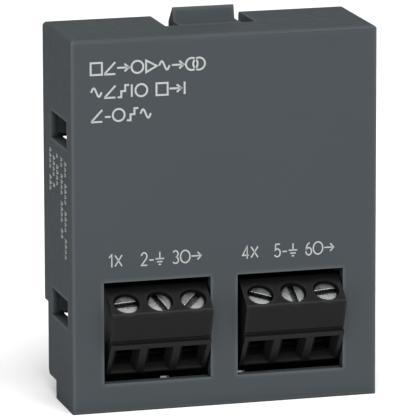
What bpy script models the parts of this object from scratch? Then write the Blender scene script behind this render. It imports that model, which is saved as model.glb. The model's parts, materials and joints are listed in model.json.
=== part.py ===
"""Plug-in output module for a small industrial controller.

A shallow moulded box holds one circuit board.  Two three-way rising-cage
terminal blocks look out of windows low in its front, a two-row socket leaves
its back, and a sprung tongue in its top wall clips it into the controller.

All dimensions are in millimetres and are turned into metres when they are
used.  x runs to the right, z runs up, and depth runs from the front face
(depth 0) to the back.  The origin lies under the middle of the whole module.
"""

import math

import bmesh
import bpy
from mathutils import Matrix, Vector

MM = 0.001
CLEARANCE = 0.3
ORIGIN_DEPTH = 6.05

# Housing
HOUSING_WIDTH = 35.0
HOUSING_HEIGHT = 42.1
HOUSING_DEPTH = 12.9
FRONT_WALL = 1.2
SIDE_WALL = 1.4
TOP_WALL = 1.2
BOTTOM_WALL = 1.5
FRONT_FILLET = 0.6
SIDE_FILLET = 0.45
FOOT_DEPTH = 7.85
FOOT_HEIGHT = 2.1
SKIRT_DEPTH = 11.35
SKIRT_HEIGHT = 10.4
SKIRT_CHAMFER = 0.4

# Windows in the front
WINDOW_CENTRES = (-7.81, 7.52)
WINDOW_WIDTH = 12.24
WINDOW_LOW = 3.28
WINDOW_HIGH = 14.8

# Snap holes in the side walls
SNAP_HOLE_FRONT = 2.2
SNAP_HOLE_BACK = 9.35
SNAP_HOLE_HEIGHT = 3.1
SNAP_HOLE_LOWS = (29.6, 9.35)

# Latch tongue in the top wall
LATCH_WIDTH = 7.1
LATCH_SLOT = 1.6
LATCH_ROOT = 6.0
LATCH_END = 10.85
LATCH_THICKNESS = 1.2
HOOK_FRONT = 8.7
HOOK_TOP_DEPTH = 9.05
HOOK_TOP_FLAT = 0.15
HOOK_RISE = 1.5

# Circuit board
BOARD_FRONT = 8.2
BOARD_THICKNESS = 1.2
BOARD_BACK = BOARD_FRONT + BOARD_THICKNESS
BOARD_HALF_WIDTH = 14.6
BOARD_LOW = 1.2
BOARD_HIGH = 39.2
BOARD_FOOT_HALF_WIDTH = 15.9
BOARD_FOOT_HIGH = 5.0
BOARD_NICK_HIGH = 1.64
BOARD_NICKS = ((-5.34, -4.32), (3.3, 4.55))

# Rear cover
COVER_THICKNESS = 1.2
COVER_LOW = 1.8
COVER_HIGH = 40.3
SOCKET_MARGIN = 0.4
EDGE_NOTCH_WIDTH = 1.6
EDGE_NOTCH_HEIGHT = 3.2
EDGE_NOTCH_DROPS = (0.45, 0.14)
ARM_INSETS = (0.65, 0.35)
ARM_THICKNESS = 0.85
ARM_FRONT = 7.3
LUG_PROTRUSION = 1.0
LUG_FLAT = 0.45

# Rear socket
SOCKET_WIDTH = 16.4
SOCKET_HEIGHT = 6.0
SOCKET_CENTRE = 23.0
SOCKET_BACK = 14.09
CONTACT_PITCH = 2.54
CONTACT_COLUMNS = 6
CONTACT_HOLE = 1.5
CONTACT_TAIL_HOLE = 1.1
SOCKET_EDGE = 0.2

# Terminal blocks: the screw axes lean forward from the vertical
SCREW_LEAN = math.radians(35.0)
TERMINAL_PITCH = 3.81
BLOCK_CENTRE = 7.69
BLOCK_WIDTH = 11.55
BLOCK_BACK = 7.9
BLOCK_LOW = 4.0
RIDGE = (-2.07, 11.51)
RIDGE_FILLET = 0.45
SCREW_TO_RIDGE = 1.82
SCREW_FACE_LENGTH = 4.18
WIRE_FACE = 3.31
WIRE_FACE_TOP = 3.86
FUNNEL_OUTER = (1.5, -7.9, -4.09)
FUNNEL_INNER = (1.0, -7.7, -4.2)
FUNNEL_LENGTH = 0.8
WIRE_BORE = (0.95, -7.5, -4.4)
CAGE_ROOM = (1.55, 1.5, 1.75)
SHANK_HOLE_RADIUS = 1.1
TAIL_SLOT = (0.95, 0.55)

# Screws, measured inwards along the axis from the screw face
SCREW_HEAD_SINK = 0.33
SCREW_HEAD_RADIUS = 1.41
SCREW_HEAD_THICKNESS = 0.95
SCREW_HOLE_RADIUS = 1.49
SCREW_SHANK_RADIUS = 0.85
SCREW_END = 3.95
SLOT_WIDTH = 0.68
SLOT_DEPTH = 0.55
SLOT_ANGLES = ((4.0, -67.0, 45.0), (-24.0, -86.0, 5.0))

# Rising cages, at their lowest and so open
CAGE_TOP = 3.3
CAGE_BOTTOM = 7.45
CAGE_WALL = 0.5
CAGE_SIDE_WALL = 0.45
CAGE_HALF_WIDTH = 1.4
CAGE_HALF_DEPTH = 1.35
CAGE_CORNER = 0.3
CAGE_THREAD_RADIUS = 1.0

# Current bars with their solder tails
BAR_TOP = 4.15
BAR_THICKNESS = 0.45
BAR_WIDTH = 1.3
TAIL_END = 9.85


def clear_scene():
    """Start from an empty scene."""
    for old in list(bpy.data.objects):
        bpy.data.objects.remove(old, do_unlink=True)


def metres(x, depth, z):
    """Turn millimetres from the front face into metres from the origin."""
    return Vector((x, depth - ORIGIN_DEPTH, z)) * MM


def make_material(name, colour, roughness, metallic=0.0):
    """A plain Principled material for one kind of sub-part."""
    material = bpy.data.materials.new(name)
    material.use_nodes = True
    shader = material.node_tree.nodes["Principled BSDF"]
    shader.inputs["Base Color"].default_value = (*colour, 1.0)
    shader.inputs["Roughness"].default_value = roughness
    shader.inputs["Metallic"].default_value = metallic
    return material


def make_object(name, bm, material, matrix=None, sharp_angle=30.0):
    """Link a bmesh to the scene as one named, smooth-shaded object."""
    bmesh.ops.recalc_face_normals(bm, faces=bm.faces)
    mesh = bpy.data.meshes.new(name)
    bm.to_mesh(mesh)
    bm.free()
    mesh.shade_smooth()
    mesh.set_sharp_from_angle(angle=math.radians(sharp_angle))
    if material:
        mesh.materials.append(material)
    part = bpy.data.objects.new(name, mesh)
    bpy.context.collection.objects.link(part)
    if matrix is not None:
        part.matrix_world = matrix
    return part


def add_block(bm, low, high, scale=MM):
    """Add a box between two corners."""
    size = Vector(high) - Vector(low)
    centre = (Vector(high) + Vector(low)) / 2
    matrix = Matrix.Translation(centre * scale) @ Matrix.Diagonal((*(size * scale), 1.0))
    bmesh.ops.create_cube(bm, size=1.0, matrix=matrix)


def housing_block(bm, x, depth, z):
    """Add a box given as three (low, high) spans from the front face."""
    low = metres(x[0], depth[0], z[0])
    high = metres(x[1], depth[1], z[1])
    add_block(bm, low, high, scale=1.0)


def add_prism(bm, corners, axis, start, end):
    """Extrude a closed outline of 3D corners along an axis, from start to end."""
    step = Vector(axis)
    verts = [bm.verts.new(Vector(corner) + step * start) for corner in corners]
    face = bm.faces.new(verts)
    moved = bmesh.ops.extrude_face_region(bm, geom=[face])["geom"]
    new_verts = [item for item in moved if isinstance(item, bmesh.types.BMVert)]
    bmesh.ops.translate(bm, verts=new_verts, vec=step * (end - start))


def side_prism(bm, outline, half_width, centre=0.0):
    """Extrude a (depth, z) outline sideways, evenly about x = centre."""
    corners = [metres(centre, depth, z) for depth, z in outline]
    add_prism(bm, corners, (MM, 0, 0), -half_width, half_width)


def add_cylinder(bm, radius, low, high, segments):
    """Add a cylinder along local z, from low to high."""
    bmesh.ops.create_cone(bm, cap_ends=True, segments=segments,
                          radius1=radius * MM, radius2=radius * MM, depth=(high - low) * MM,
                          matrix=Matrix.Translation((0, 0, (low + high) / 2 * MM)))


def cut(part, bm, matrix=None):
    """Subtract a bmesh from a part with an exact Boolean."""
    cutter = make_object(part.name + "_cutter", bm, None, matrix)
    cutter.hide_render = True
    cutter.display_type = "WIRE"
    modifier = part.modifiers.new("Cut", "BOOLEAN")
    modifier.operation = "DIFFERENCE"
    modifier.solver = "EXACT"
    modifier.object = cutter


def fuse(part, bm, matrix=None):
    """Add a bmesh to a part with an exact Boolean."""
    extra = make_object(part.name + "_extra", bm, None, matrix)
    extra.hide_render = True
    extra.display_type = "WIRE"
    modifier = part.modifiers.new("Fuse", "BOOLEAN")
    modifier.operation = "UNION"
    modifier.solver = "EXACT"
    modifier.object = extra


def edges_where(bm, test):
    """Edges whose two ends both pass a test."""
    return [edge for edge in bm.edges if all(test(vert.co) for vert in edge.verts)]


# Housing and latch

def housing_outline():
    """Side view of the housing: full depth above, a skirt and a foot below."""
    return [
        (0.0, 0.0),
        (FOOT_DEPTH, 0.0),
        (FOOT_DEPTH, FOOT_HEIGHT),
        (SKIRT_DEPTH - SKIRT_CHAMFER, FOOT_HEIGHT),
        (SKIRT_DEPTH, FOOT_HEIGHT + SKIRT_CHAMFER),
        (SKIRT_DEPTH, SKIRT_HEIGHT),
        (HOUSING_DEPTH, SKIRT_HEIGHT),
        (HOUSING_DEPTH, HOUSING_HEIGHT),
        (0.0, HOUSING_HEIGHT),
    ]


def make_housing(material):
    """The front shell, with its windows, snap holes and latch slots."""
    bm = bmesh.new()
    side_prism(bm, housing_outline(), HOUSING_WIDTH / 2)
    top = HOUSING_HEIGHT * MM - 1e-6
    side = HOUSING_WIDTH / 2 * MM - 1e-6
    front = metres(0, 0, 0).y + 1e-6
    top_edges = edges_where(bm, lambda co: co.z > top and abs(co.x) > side)
    bmesh.ops.bevel(bm, geom=top_edges, offset=SIDE_FILLET * MM, segments=3,
                    profile=0.5, affect="EDGES")
    front_edges = edges_where(bm, lambda co: co.y < front)
    bmesh.ops.bevel(bm, geom=front_edges, offset=FRONT_FILLET * MM, segments=4,
                    profile=0.5, affect="EDGES")
    housing = make_object("front_housing", bm, material)

    inside = HOUSING_WIDTH / 2 - SIDE_WALL
    hollow = bmesh.new()
    housing_block(hollow, (-inside, inside), (FRONT_WALL, HOUSING_DEPTH + 2),
                  (BOTTOM_WALL, HOUSING_HEIGHT - TOP_WALL))
    cut(housing, hollow)

    openings = bmesh.new()
    for side in (-1, 1):
        centre = WINDOW_CENTRES[side > 0]
        housing_block(openings, (centre - WINDOW_WIDTH / 2, centre + WINDOW_WIDTH / 2),
                      (-2, FRONT_WALL + 1), (WINDOW_LOW, WINDOW_HIGH))
    for low in SNAP_HOLE_LOWS:
        for side in (-1, 1):
            edge = side * (HOUSING_WIDTH / 2 + 1)
            housing_block(openings, sorted((side * (inside - 1), edge)),
                          (SNAP_HOLE_FRONT, SNAP_HOLE_BACK), (low, low + SNAP_HOLE_HEIGHT))
    slots = LATCH_WIDTH / 2 + LATCH_SLOT
    housing_block(openings, (-slots, slots), (LATCH_ROOT, HOUSING_DEPTH + 1),
                  (HOUSING_HEIGHT - TOP_WALL - 1, HOUSING_HEIGHT + 1))
    cut(housing, openings)
    return housing


def make_latch(material):
    """The sprung tongue, hung on an empty at its root in the top wall."""
    top = HOUSING_HEIGHT
    under = top - LATCH_THICKNESS
    root = bpy.data.objects.new("latch_root", None)
    root.location = metres(0, LATCH_ROOT, top - LATCH_THICKNESS / 2)
    bpy.context.collection.objects.link(root)
    bpy.context.view_layer.update()
    bm = bmesh.new()
    side_prism(bm, [
        (LATCH_ROOT + CLEARANCE, under),
        (LATCH_END, under),
        (LATCH_END, top - CLEARANCE),
        (HOOK_TOP_DEPTH + HOOK_TOP_FLAT, top + HOOK_RISE),
        (HOOK_TOP_DEPTH, top + HOOK_RISE),
        (HOOK_FRONT, top),
        (LATCH_ROOT + CLEARANCE, top),
    ], LATCH_WIDTH / 2)
    latch = make_object("latch_tongue", bm, material)
    latch.parent = root
    latch.matrix_parent_inverse = root.matrix_world.inverted()
    return latch


# Rear cover and board

def make_rear_cover(material):
    """The stepped back plate with four snap arms."""
    half = HOUSING_WIDTH / 2 - SIDE_WALL - CLEARANCE
    upper_front = HOUSING_DEPTH - COVER_THICKNESS
    lower_front = SKIRT_DEPTH - COVER_THICKNESS
    bm = bmesh.new()
    side_prism(bm, [
        (lower_front, COVER_LOW),
        (SKIRT_DEPTH, COVER_LOW),
        (SKIRT_DEPTH, SKIRT_HEIGHT),
        (HOUSING_DEPTH, SKIRT_HEIGHT),
        (HOUSING_DEPTH, COVER_HIGH),
        (upper_front, COVER_HIGH),
        (upper_front, SKIRT_HEIGHT + COVER_THICKNESS),
        (lower_front, SKIRT_HEIGHT + COVER_THICKNESS),
    ], half)
    cover = make_object("rear_cover", bm, material)

    arms = bmesh.new()
    arm_back = upper_front + COVER_THICKNESS / 3
    lug_back = SNAP_HOLE_BACK - CLEARANCE
    for low in SNAP_HOLE_LOWS:
        for side in (-1, 1):
            outline = [
                (half - ARM_THICKNESS, arm_back),
                (half - ARM_THICKNESS, ARM_FRONT),
                (half, ARM_FRONT),
                (half + LUG_PROTRUSION, lug_back - LUG_FLAT),
                (half + LUG_PROTRUSION, lug_back),
                (half, lug_back),
                (half, arm_back),
            ]
            corners = [metres(side * x, depth, 0) for x, depth in outline]
            add_prism(arms, corners, (0, 0, MM), low + ARM_INSETS[0],
                      low + SNAP_HOLE_HEIGHT - ARM_INSETS[1])
    fuse(cover, arms)

    holes = bmesh.new()
    hole_half = SOCKET_WIDTH / 2 + SOCKET_MARGIN
    hole_rise = SOCKET_HEIGHT / 2 + SOCKET_MARGIN
    housing_block(holes, (-hole_half, hole_half), (upper_front - 1, HOUSING_DEPTH + 1),
                  (SOCKET_CENTRE - hole_rise, SOCKET_CENTRE + hole_rise))
    for low, drop in zip(SNAP_HOLE_LOWS, EDGE_NOTCH_DROPS):
        notch_high = low - drop
        for side in (-1, 1):
            housing_block(holes, sorted((side * (half + 1), side * (half - EDGE_NOTCH_WIDTH))),
                          (lower_front - 1, HOUSING_DEPTH + 1),
                          (notch_high - EDGE_NOTCH_HEIGHT, notch_high))
    cut(cover, holes)
    return cover


def contact_places():
    """Sideways and upward places of the socket's contacts."""
    for row in (-0.5, 0.5):
        for column in range(CONTACT_COLUMNS):
            x = (column - (CONTACT_COLUMNS - 1) / 2) * CONTACT_PITCH
            yield x, SOCKET_CENTRE + row * CONTACT_PITCH


def terminal_places():
    """Block side and sideways place of each terminal, left to right."""
    for block, side in enumerate((-1, 1)):
        for way in range(3):
            yield block, way, side * BLOCK_CENTRE + (way - 1) * TERMINAL_PITCH


def make_board(material):
    """The circuit board: wider at its foot, with tail holes and two nicks below."""
    bm = bmesh.new()
    right_edge = [(BOARD_FOOT_HALF_WIDTH, BOARD_LOW), (BOARD_FOOT_HALF_WIDTH, BOARD_FOOT_HIGH),
                  (BOARD_HALF_WIDTH, BOARD_FOOT_HIGH), (BOARD_HALF_WIDTH, BOARD_HIGH)]
    outline = right_edge + [(-x, z) for x, z in reversed(right_edge)]
    corners = [metres(x, BOARD_FRONT, z) for x, z in outline]
    add_prism(bm, corners, (0, MM, 0), 0.0, BOARD_THICKNESS)
    board = make_object("circuit_board", bm, material)
    holes = bmesh.new()
    through = (BOARD_FRONT - 1, BOARD_BACK + 1)
    for left, right in BOARD_NICKS:
        housing_block(holes, (left, right), through, (BOARD_LOW - 1, BOARD_NICK_HIGH))
    hole = CONTACT_TAIL_HOLE / 2
    for x, z in contact_places():
        housing_block(holes, (x - hole, x + hole), through, (z - hole, z + hole))
    tail_z = bar_line()[-1][1]
    half, rise = TAIL_SLOT
    for _, _, x in terminal_places():
        housing_block(holes, (x - half, x + half), through, (tail_z - rise, tail_z + rise))
    cut(board, holes)
    return board


def make_socket(material):
    """The two-row socket that plugs into the controller."""
    bm = bmesh.new()
    front = BOARD_BACK + CLEARANCE
    housing_block(bm, (-SOCKET_WIDTH / 2, SOCKET_WIDTH / 2), (front, SOCKET_BACK),
                  (SOCKET_CENTRE - SOCKET_HEIGHT / 2, SOCKET_CENTRE + SOCKET_HEIGHT / 2))
    bmesh.ops.bevel(bm, geom=list(bm.edges), offset=SOCKET_EDGE * MM, segments=1,
                    affect="EDGES")
    socket = make_object("rear_socket", bm, material)
    holes = bmesh.new()
    half = CONTACT_HOLE / 2
    for x, z in contact_places():
        housing_block(holes, (x - half, x + half), (front - 1, SOCKET_BACK + 1),
                      (z - half, z + half))
    cut(socket, holes)
    return socket


def make_socket_contact(number, x, z, material):
    """A tuning-fork contact with a tail through the board."""
    blade = 0.2
    gape = 0.28
    tail = 0.22
    fork = BOARD_BACK + 0.9
    tip = SOCKET_BACK - 0.5
    outline = [
        (BOARD_FRONT - 0.8, z - tail),
        (fork, z - tail),
        (fork + 0.3, z - gape - blade),
        (tip, z - gape - blade),
        (tip, z - gape),
        (fork + 0.8, z - gape),
        (fork + 0.8, z + gape),
        (tip, z + gape),
        (tip, z + gape + blade),
        (fork + 0.3, z + gape + blade),
        (fork, z + tail),
        (BOARD_FRONT - 0.8, z + tail),
    ]
    bm = bmesh.new()
    side_prism(bm, outline, 0.25, centre=x)
    return make_object(f"socket_contact_{number}", bm, material)


# Terminal blocks

def screw_face_point():
    """Depth and height where a screw axis meets the screw face."""
    depth = RIDGE[0] + SCREW_TO_RIDGE * math.cos(SCREW_LEAN)
    height = RIDGE[1] + SCREW_TO_RIDGE * math.sin(SCREW_LEAN)
    return depth, height


def terminal_matrix(x):
    """Frame of one terminal: local z out along the screw, local y along the wire."""
    depth, height = screw_face_point()
    return Matrix.Translation(metres(x, depth, height)) @ Matrix.Rotation(SCREW_LEAN, 4, "X")


def along(inwards, wirewards):
    """Depth and height of a point given in a terminal's own directions."""
    depth, height = screw_face_point()
    sine, cosine = math.sin(SCREW_LEAN), math.cos(SCREW_LEAN)
    return (depth + inwards * sine + wirewards * cosine,
            height - inwards * cosine + wirewards * sine)


def block_outline():
    """Side view: screw face, ridge, front, groove, sloping wire face, base."""
    wire_top = along(WIRE_FACE_TOP, -WIRE_FACE)
    wire_end_in = WIRE_FACE_TOP + (wire_top[1] - BLOCK_LOW) / math.cos(SCREW_LEAN)
    screw_face_end = along(0.0, SCREW_FACE_LENGTH - SCREW_TO_RIDGE)
    front_foot = (-1.05, 8.35)
    fillet = rounded_corner(screw_face_end, RIDGE, front_foot, RIDGE_FILLET)
    return fillet + [
        front_foot,
        (-0.75, 8.22),
        (-0.75, 8.0),
        (wire_top[0] - 0.12, wire_top[1] + 0.36),
        wire_top,
        along(wire_end_in, -WIRE_FACE),
        (BLOCK_BACK, BLOCK_LOW),
        (BLOCK_BACK, screw_face_end[1]),
        screw_face_end,
    ]


def rounded_corner(before, corner, after, radius, steps=4):
    """Points of the arc that rounds a corner between two straight edges."""
    corner = Vector(corner)
    first = (Vector(before) - corner).normalized()
    second = (Vector(after) - corner).normalized()
    half_angle = first.angle(second) / 2
    centre = corner + (first + second).normalized() * radius / math.sin(half_angle)
    reach = radius / math.tan(half_angle)
    start = corner + first * reach - centre
    end = corner + second * reach - centre
    spokes = [start.lerp(end, step / steps).normalized() for step in range(steps + 1)]
    return [tuple(centre + spoke * radius) for spoke in spokes]


def add_funnel(bm, outer, inner, front, back):
    """A four-sided funnel along local y between two (half width, low, high) mouths."""
    rings = []
    for (half, low, high), y in ((outer, front), (inner, back)):
        places = ((-half, low), (half, low), (half, high), (-half, high))
        rings.append([bm.verts.new(Vector((x, y, z)) * MM) for x, z in places])
    bm.faces.new(rings[0])
    bm.faces.new(rings[1][::-1])
    for index in range(4):
        following = (index + 1) % 4
        bm.faces.new((rings[0][index], rings[1][index], rings[1][following], rings[0][following]))


def make_block(name, block, material):
    """A terminal block housing, hollowed for its three terminals."""
    centre = (-1, 1)[block] * BLOCK_CENTRE
    bm = bmesh.new()
    side_prism(bm, block_outline(), BLOCK_WIDTH / 2, centre=centre)
    housing = make_object(name, bm, material)
    head_floor = SCREW_HEAD_SINK + SCREW_HEAD_THICKNESS + 0.4 * CLEARANCE
    for own_block, _, x in terminal_places():
        if own_block != block:
            continue
        frame = terminal_matrix(x)
        half_width, half_depth, top = CAGE_ROOM
        cavity = bmesh.new()
        add_block(cavity, (-half_width, -half_depth, -CAGE_BOTTOM - 0.25),
                  (half_width, half_depth, -top))
        cut(housing, cavity, frame)
        head_hole = bmesh.new()
        add_cylinder(head_hole, SCREW_HOLE_RADIUS, -head_floor, 1.0, 32)
        cut(housing, head_hole, frame)
        shank_hole = bmesh.new()
        add_cylinder(shank_hole, SHANK_HOLE_RADIUS, -2.6, -0.6, 20)
        cut(housing, shank_hole, frame)
        funnel = bmesh.new()
        funnel_end = -WIRE_FACE + FUNNEL_LENGTH
        add_funnel(funnel, FUNNEL_OUTER, FUNNEL_INNER, -WIRE_FACE - 0.02, funnel_end)
        cut(housing, funnel, frame)
        channel = bmesh.new()
        half, low, high = WIRE_BORE
        add_block(channel, (-half, funnel_end - 0.1, low), (half, -1.2, high))
        cut(housing, channel, frame)
        bend, tail = bar_line()[1:]
        half, rise = TAIL_SLOT
        slot = bmesh.new()
        housing_block(slot, (x - half, x + half), (bend[0] - 0.2, BLOCK_BACK + 1),
                      (tail[1] - rise, tail[1] + rise))
        cut(housing, slot)
    return housing


def make_screw(number, x, angle, material):
    """A captive slotted screw, its origin on its own axis at the screw face."""
    bm = bmesh.new()
    top = -SCREW_HEAD_SINK
    under = top - SCREW_HEAD_THICKNESS
    profile = [
        (0.0, top),
        (SCREW_HEAD_RADIUS - 0.15, top),
        (SCREW_HEAD_RADIUS, top - 0.15),
        (SCREW_HEAD_RADIUS, under),
        (SCREW_SHANK_RADIUS, under),
        (SCREW_SHANK_RADIUS, -SCREW_END + 0.2),
        (SCREW_SHANK_RADIUS - 0.2, -SCREW_END),
        (0.0, -SCREW_END),
    ]
    verts = [bm.verts.new((radius * MM, 0.0, z * MM)) for radius, z in profile]
    edges = [bm.edges.new(pair) for pair in zip(verts, verts[1:])]
    bmesh.ops.spin(bm, geom=verts + edges, axis=(0, 0, 1), cent=(0, 0, 0),
                   angle=math.tau, steps=32, use_merge=True)
    bmesh.ops.remove_doubles(bm, verts=bm.verts, dist=1e-6)
    frame = terminal_matrix(x) @ Matrix.Rotation(math.radians(angle), 4, "Z")
    screw = make_object(f"terminal_screw_{number}", bm, material, frame)
    slot = bmesh.new()
    add_block(slot, (-2.0, -SLOT_WIDTH / 2, top - SLOT_DEPTH), (2.0, SLOT_WIDTH / 2, top + 1.0))
    cut(screw, slot, frame)
    return screw


def make_cage(number, x, material):
    """A rising cage: a square tube of sheet with a threaded hole in its top."""
    bm = bmesh.new()
    add_block(bm, (-CAGE_HALF_WIDTH, -CAGE_HALF_DEPTH, -CAGE_BOTTOM),
              (CAGE_HALF_WIDTH, CAGE_HALF_DEPTH, -CAGE_TOP))
    long_edges = [edge for edge in bm.edges
                  if abs(edge.verts[0].co.y - edge.verts[1].co.y) > CAGE_HALF_DEPTH * MM]
    bmesh.ops.bevel(bm, geom=long_edges, offset=CAGE_CORNER * MM, segments=2, profile=0.5,
                    affect="EDGES")
    frame = terminal_matrix(x)
    cage = make_object(f"clamp_cage_{number}", bm, material, frame)
    hollow = bmesh.new()
    inner = CAGE_HALF_WIDTH - CAGE_SIDE_WALL
    add_block(hollow, (-inner, -3.0, -CAGE_BOTTOM + CAGE_WALL),
              (inner, 3.0, -CAGE_TOP - CAGE_WALL))
    cut(cage, hollow, frame)
    thread = bmesh.new()
    add_cylinder(thread, CAGE_THREAD_RADIUS, -CAGE_TOP - 0.75, -CAGE_TOP + 0.25, 20)
    cut(cage, thread, frame)
    return cage


def bar_line():
    """Middle line of a current bar: through the cage, then straight back as a tail."""
    middle = BAR_TOP + BAR_THICKNESS / 2
    start = along(middle, -1.25)
    bend = along(middle, 1.0)
    return [start, bend, (TAIL_END, bend[1])]


def strip_outline(line, thickness):
    """Both sides of a bent strip that follows a (depth, z) line."""
    points = [Vector(point) for point in line]
    normals = []
    for first, second in zip(points, points[1:]):
        way = (second - first).normalized()
        normals.append(Vector((-way.y, way.x)))
    offsets = [normals[0]]
    for before, after in zip(normals, normals[1:]):
        mitre = (before + after).normalized()
        offsets.append(mitre / mitre.dot(before))
    offsets.append(normals[-1])
    left = [point + offset * thickness / 2 for point, offset in zip(points, offsets)]
    right = [point - offset * thickness / 2 for point, offset in zip(points, offsets)]
    return [tuple(point) for point in left + right[::-1]]


def make_current_bar(number, x, material):
    """The fixed bar that the wire is pressed against, with its solder tail."""
    bm = bmesh.new()
    side_prism(bm, strip_outline(bar_line(), BAR_THICKNESS), BAR_WIDTH / 2, centre=x)
    return make_object(f"current_bar_{number}", bm, material)


# Parts on the board

def make_chip(name, centre, size, leads, material, behind=False):
    """A moulded chip with a row of leads on each long side."""
    width, height, thickness = size
    lift = CLEARANCE
    if behind:
        near = BOARD_BACK + lift
        far = near + thickness
        foot = (near, near + 0.25)
    else:
        far = BOARD_FRONT - lift
        near = far - thickness
        foot = (far - 0.25, far)
    x, z = centre
    bm = bmesh.new()
    housing_block(bm, (x - width / 2, x + width / 2), (near, far), (z - height / 2, z + height / 2))
    bmesh.ops.bevel(bm, geom=list(bm.edges), offset=0.12 * MM, segments=1, affect="EDGES")
    chip = make_object(name, bm, material)
    if leads:
        legs = bmesh.new()
        pitch = (width - 0.8) / max(leads - 1, 1)
        for index in range(leads):
            leg_x = x - (width - 0.8) / 2 + index * pitch
            leg_half = min(0.22, pitch / 4)
            housing_block(legs, (leg_x - leg_half, leg_x + leg_half), foot,
                          (z - height / 2 - 0.7, z + height / 2 + 0.7))
        fuse(chip, legs)
    return chip


def make_capacitor(name, centre, radius, height, material):
    """A can capacitor on a square base, standing off the board's front."""
    x, z = centre
    base = BOARD_FRONT - CLEARANCE
    bm = bmesh.new()
    housing_block(bm, (x - radius - 0.1, x + radius + 0.1), (base - 0.6, base),
                  (z - radius - 0.1, z + radius + 0.1))
    capacitor = make_object(name, bm, material)
    can = bmesh.new()
    middle = metres(x, base - 0.3 - height / 2, z)
    matrix = Matrix.Translation(middle) @ Matrix.Rotation(math.pi / 2, 4, "X")
    bmesh.ops.create_cone(can, cap_ends=True, segments=28, radius1=radius * MM,
                          radius2=radius * MM, depth=height * MM, matrix=matrix)
    fuse(capacitor, can)
    return capacitor


def make_transformer(name, centre, size, material):
    """A small isolation transformer: a block with a groove in each side."""
    x, z = centre
    width, height, thickness = size
    base = BOARD_FRONT - CLEARANCE
    bm = bmesh.new()
    housing_block(bm, (x - width / 2, x + width / 2), (base - thickness, base),
                  (z - height / 2, z + height / 2))
    bmesh.ops.bevel(bm, geom=list(bm.edges), offset=0.3 * MM, segments=1, affect="EDGES")
    transformer = make_object(name, bm, material)
    waist = bmesh.new()
    for side in (-1, 1):
        housing_block(waist, sorted((x + side * (width / 2 - 0.9), x + side * (width / 2 + 1))),
                      (base - thickness + 0.9, base - 0.9), (z - height, z + height))
    cut(transformer, waist)
    return transformer


def make_electronics(black, ferrite, can, ceramic, steel):
    """Everything that sits on the board, front and back."""
    make_transformer("isolation_transformer", (-9.3, 33.8), (8.4, 7.6, 5.0), ferrite)
    make_capacitor("input_capacitor", (9.6, 35.4), 2.5, 5.2, can)
    make_capacitor("output_capacitor", (3.2, 35.4), 2.5, 5.2, can)
    make_chip("microcontroller", (0.0, 28.6), (6.4, 5.2, 1.2), 8, black)
    make_chip("voltage_regulator", (11.4, 28.6), (4.6, 3.4, 1.5), 3, black)
    make_chip("signal_isolator", (-10.0, 18.2), (7.4, 5.2, 1.3), 8, black)
    make_chip("analogue_converter", (0.0, 17.6), (5.0, 4.4, 1.0), 8, black)
    make_chip("loop_driver_left", (-10.6, 25.2), (4.6, 3.6, 1.4), 4, black)
    make_chip("loop_driver_right", (9.2, 17.6), (4.6, 3.6, 1.4), 4, black)
    make_chip("power_inductor", (10.4, 23.4), (4.4, 4.0, 2.4), 0, ferrite)
    make_chip("surge_diode_left", (-8.6, 13.2), (4.2, 2.8, 1.8), 1, black, behind=True)
    make_chip("surge_diode_right", (8.6, 14.4), (4.2, 2.8, 1.4), 1, black, behind=True)
    make_chip("sense_resistor_left", (-6.6, 33.4), (5.2, 2.6, 0.6), 0, ceramic, behind=True)
    make_chip("sense_resistor_right", (6.6, 33.4), (5.2, 2.6, 0.6), 0, ceramic, behind=True)
    make_chip("clock_crystal", (0.0, 33.0), (4.6, 3.0, 1.0), 0, steel, behind=True)


def main():
    clear_scene()
    housing_grey = make_material("housing_grey", (0.085, 0.098, 0.104), 0.55)
    cover_black = make_material("cover_black", (0.03, 0.032, 0.034), 0.6)
    block_black = make_material("block_black", (0.02, 0.02, 0.022), 0.45)
    screw_steel = make_material("screw_steel", (0.62, 0.62, 0.6), 0.35, 1.0)
    cage_steel = make_material("cage_steel", (0.6, 0.58, 0.52), 0.4, 1.0)
    bar_tin = make_material("bar_tin", (0.7, 0.69, 0.66), 0.3, 1.0)
    contact_gold = make_material("contact_gold", (0.85, 0.62, 0.25), 0.25, 1.0)
    board_green = make_material("board_green", (0.012, 0.06, 0.03), 0.4)
    chip_black = make_material("chip_black", (0.02, 0.02, 0.02), 0.5)
    ferrite_grey = make_material("ferrite_grey", (0.05, 0.05, 0.055), 0.7)
    can_aluminium = make_material("can_aluminium", (0.7, 0.71, 0.72), 0.3, 1.0)
    resistor_ceramic = make_material("resistor_ceramic", (0.04, 0.04, 0.05), 0.3)
    crystal_steel = make_material("crystal_steel", (0.65, 0.64, 0.6), 0.3, 1.0)

    make_housing(housing_grey)
    make_latch(housing_grey)
    make_rear_cover(cover_black)
    make_board(board_green)
    make_socket(block_black)
    for number, (x, z) in enumerate(contact_places(), start=1):
        make_socket_contact(number, x, z, contact_gold)
    for block, name in enumerate(("terminal_block_left", "terminal_block_right")):
        make_block(name, block, block_black)
    for number, (block, way, x) in enumerate(terminal_places(), start=1):
        make_screw(number, x, SLOT_ANGLES[block][way], screw_steel)
        make_cage(number, x, cage_steel)
        make_current_bar(number, x, bar_tin)
    make_electronics(chip_black, ferrite_grey, can_aluminium, resistor_ceramic, crystal_steel)


main()
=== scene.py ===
# %% [markdown]
# This lesson dresses a small plug-in output module for a controller.  The
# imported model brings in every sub-part at its true place, and the cells below
# give each one the shape detail and the finish of the moulded, plated or
# printed real thing.  Nothing is placed by eye: sizes come from the frame.
# %% Load the frame
import json
import math

import bmesh
import bpy
from mathutils import Matrix, Vector


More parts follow.
